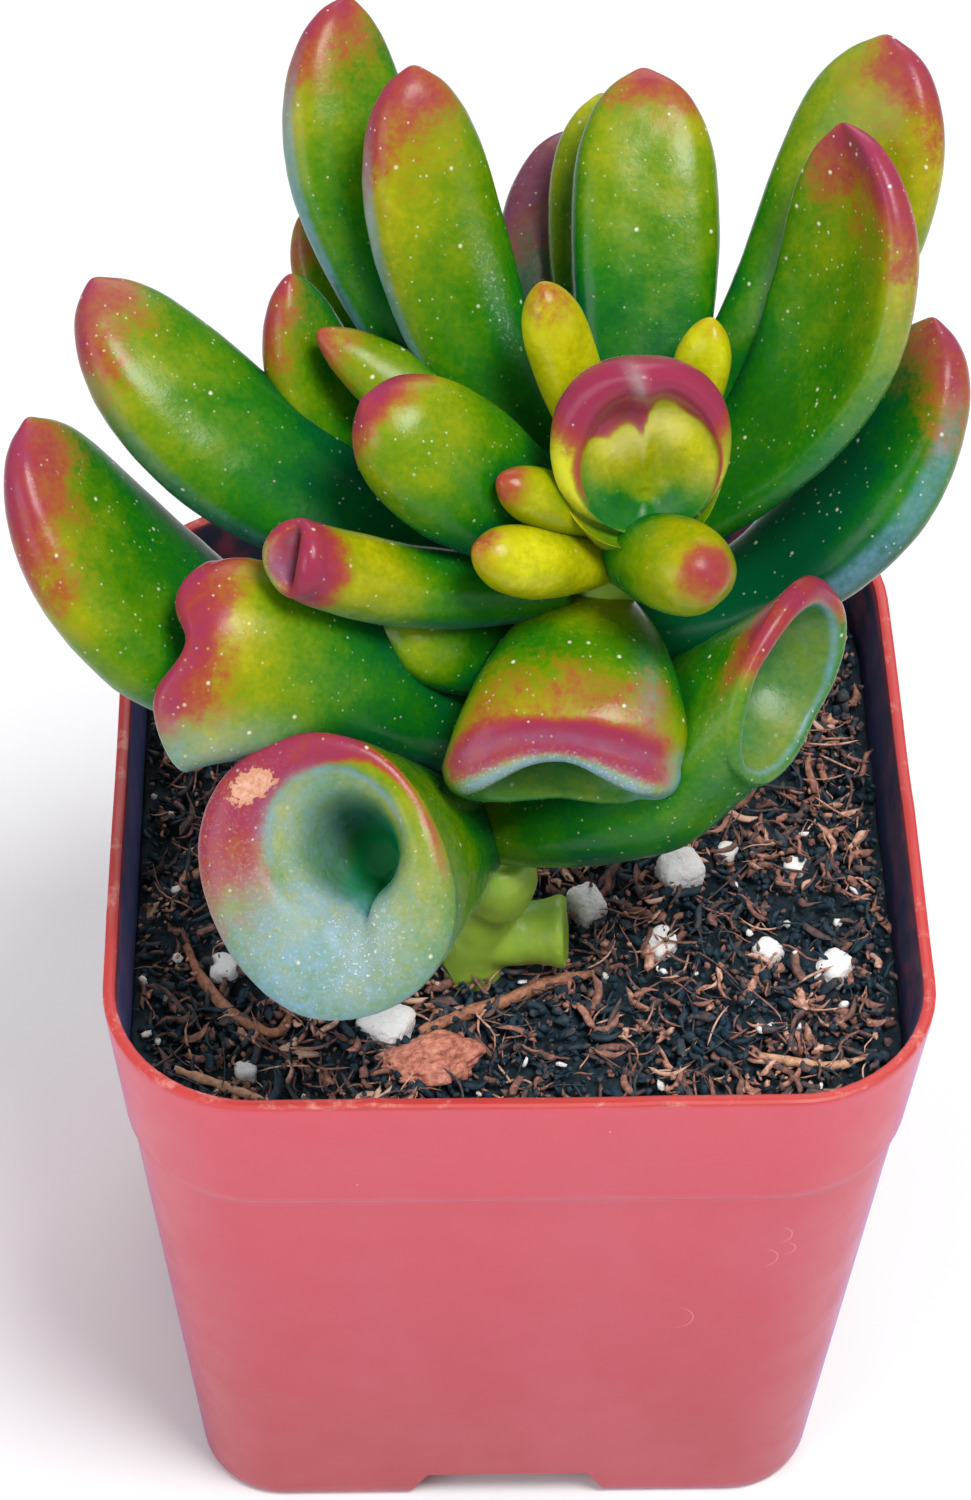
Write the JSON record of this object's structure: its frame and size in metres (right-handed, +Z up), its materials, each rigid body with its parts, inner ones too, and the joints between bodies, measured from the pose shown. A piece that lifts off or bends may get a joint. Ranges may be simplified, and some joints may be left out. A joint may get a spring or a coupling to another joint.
{
  "type": "potted ogre ears crassula",
  "caption": "Young ogre ears crassula with tubular and cup-ended leaves, rooted in a filled square nursery pot.",
  "frame": {"origin": "middle of the pot's underside, on the surface that the pot stands on", "axes": "+Z up, -Y towards the front of the pot as pictured, +X to the right"},
  "size_m": [0.0622, 0.0581, 0.1105],
  "materials": {
    "pot_plastic": "satin",
    "leaf_mature": "satin",
    "leaf_young": "satin",
    "stem": "satin",
    "potting_mix": "matte",
    "perlite": "matte",
    "plant_fibre": "matte",
    "bark": "matte"
  },
  "bodies": {
    "root": {"stem": "stem", "leaf_big_trumpet": "leaf_mature", "leaf_front_curl": "leaf_mature", "leaf_hood": "leaf_young", "leaf_bulb": "leaf_young", "young_small_lower": "leaf_young", "young_small_upper": "leaf_young", "young_finger_left": "leaf_young", "young_finger_right": "leaf_young", "leaf_right_trumpet": "leaf_mature", "leaf_heart_spoon": "leaf_mature", "leaf_small_trumpet": "leaf_mature", "leaf_mid_left": "leaf_mature", "leaf_small_cone": "leaf_mature", "leaf_tall_left_front": "leaf_mature", "leaf_top_middle": "leaf_mature", "leaf_right": "leaf_mature", "leaf_inner_left": "leaf_mature", "leaf_far_left": "leaf_mature", "leaf_upper_left": "leaf_mature", "leaf_tall_right": "leaf_mature", "leaf_far_right": "leaf_mature", "leaf_tall_left": "leaf_mature", "leaf_top_behind": "leaf_mature", "leaf_sliver_left": "leaf_mature", "leaf_purple_back": "leaf_mature", "leaf_low_middle": "leaf_mature", "pot": "pot_plastic", "twig_middle": "plant_fibre", "twig_left": "plant_fibre", "fibre_left": "plant_fibre", "fibre_right": "plant_fibre", "perlite_1": "perlite", "perlite_2": "perlite", "perlite_3": "perlite", "perlite_4": "perlite", "perlite_5": "perlite", "perlite_6": "perlite", "perlite_7": "perlite", "perlite_8": "perlite", "perlite_9": "perlite", "perlite_10": "perlite", "perlite_11": "perlite", "perlite_12": "perlite", "bark_piece": "bark", "soil": "potting_mix"}
  },
  "joints": []
}
